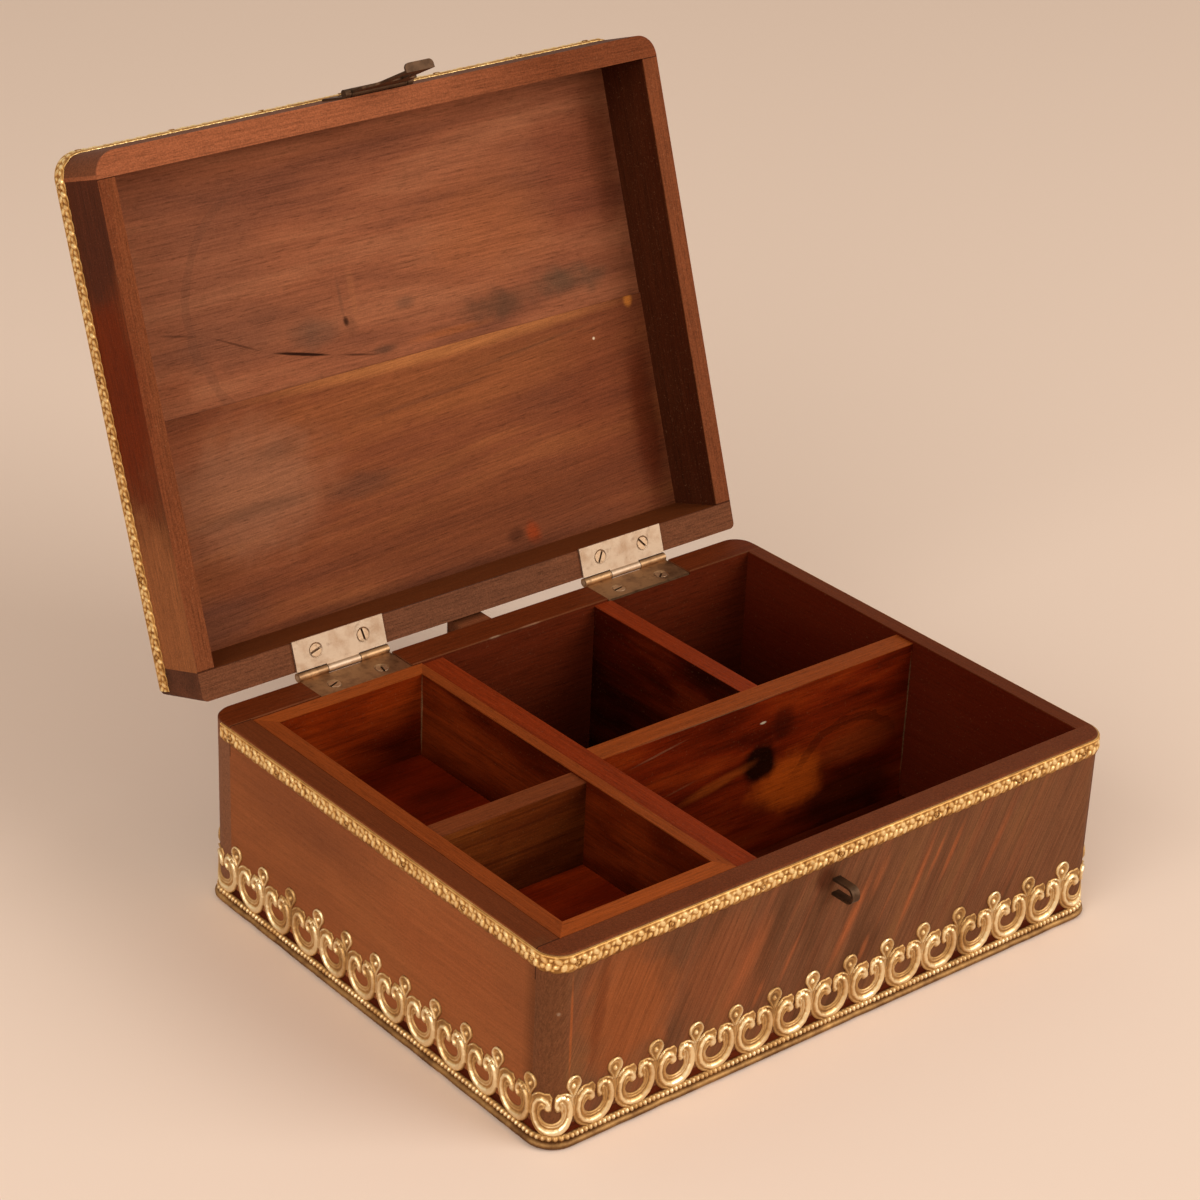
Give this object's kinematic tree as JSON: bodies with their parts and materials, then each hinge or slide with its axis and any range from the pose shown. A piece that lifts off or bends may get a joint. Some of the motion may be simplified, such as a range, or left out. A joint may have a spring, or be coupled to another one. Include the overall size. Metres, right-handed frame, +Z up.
{
  "type": "hinged jewellery box",
  "caption": "Rectangular hardwood box with a hinged lid, inner compartments, a lift-out divided tray, brass trim and a pierced brass band round the foot, and a hasp with a staple.",
  "frame": {"origin": "middle of the underside, on the surface that the box stands on", "axes": "+X to the right seen from the front, +Y to the back where the hinges are, +Z up"},
  "size_m": [0.2444, 0.2881, 0.2683],
  "materials": {
    "case_wood": "oiled dark reddish-brown hardwood",
    "inner_wood": "dull reddish-brown hardwood",
    "tray_wood": "reddish-orange hardwood",
    "band_brass": "aged pressed sheet",
    "hinge_steel": "worn brass-toned plate",
    "hasp_steel": "dark tarnished"
  },
  "bodies": {
    "base": {"bottom_panel": "case_wood", "front_board": "case_wood", "back_board": "case_wood", "left_board": "case_wood", "right_board": "case_wood", "stop_block": "case_wood", "bay_divider": "inner_wood", "cross_divider": "inner_wood", "rear_divider": "inner_wood", "left_ledge": "inner_wood", "right_ledge": "inner_wood", "band_ledge": "band_brass", "bead_strip": "band_brass", "scroll_front": "band_brass", "scroll_back": "band_brass", "scroll_left": "band_brass", "scroll_right": "band_brass", "scroll_front_left": "band_brass", "scroll_front_right": "band_brass", "scroll_back_left": "band_brass", "scroll_back_right": "band_brass", "base_trim": "band_brass", "hinge_left_base_leaf": "hinge_steel", "hinge_right_base_leaf": "hinge_steel", "base_hinge_screws": "hinge_steel", "hinge_left_pin": "hinge_steel", "hinge_right_pin": "hinge_steel", "staple": "hasp_steel"},
    "lid": {"lid_front_rail": "case_wood", "lid_back_rail": "case_wood", "lid_left_rail": "case_wood", "lid_right_rail": "case_wood", "lid_front_top_board": "inner_wood", "lid_rear_top_board": "inner_wood", "lid_trim": "band_brass", "hinge_left_lid_leaf": "hinge_steel", "hinge_right_lid_leaf": "hinge_steel", "lid_hinge_screws": "hinge_steel", "hasp_leaf": "hasp_steel", "hasp_pin": "hasp_steel"},
    "flap": {"hasp_flap": "hasp_steel"},
    "tray": {"tray_front_wall": "tray_wood", "tray_back_wall": "tray_wood", "tray_left_wall": "tray_wood", "tray_right_wall": "tray_wood", "tray_divider": "tray_wood", "tray_bottom": "tray_wood"}
  },
  "joints": [
    {"name": "lid_hinge", "type": "hinge", "parent": "base", "child": "lid", "pos_m": [0, 0.09598, 0.0715], "axis": [-1, 0, 0], "range_deg": [-108.8, 0]},
    {"name": "hasp_hinge", "type": "hinge", "parent": "lid", "child": "flap", "pos_m": [-0.004, 0.1584, 0.25268], "axis": [-1, 0, 0], "range_deg": [-9, 151]},
    {"name": "tray_lift", "type": "slide", "parent": "base", "child": "tray", "axis": [0, 0, 1], "range_m": [0, 0.07]}
  ]
}
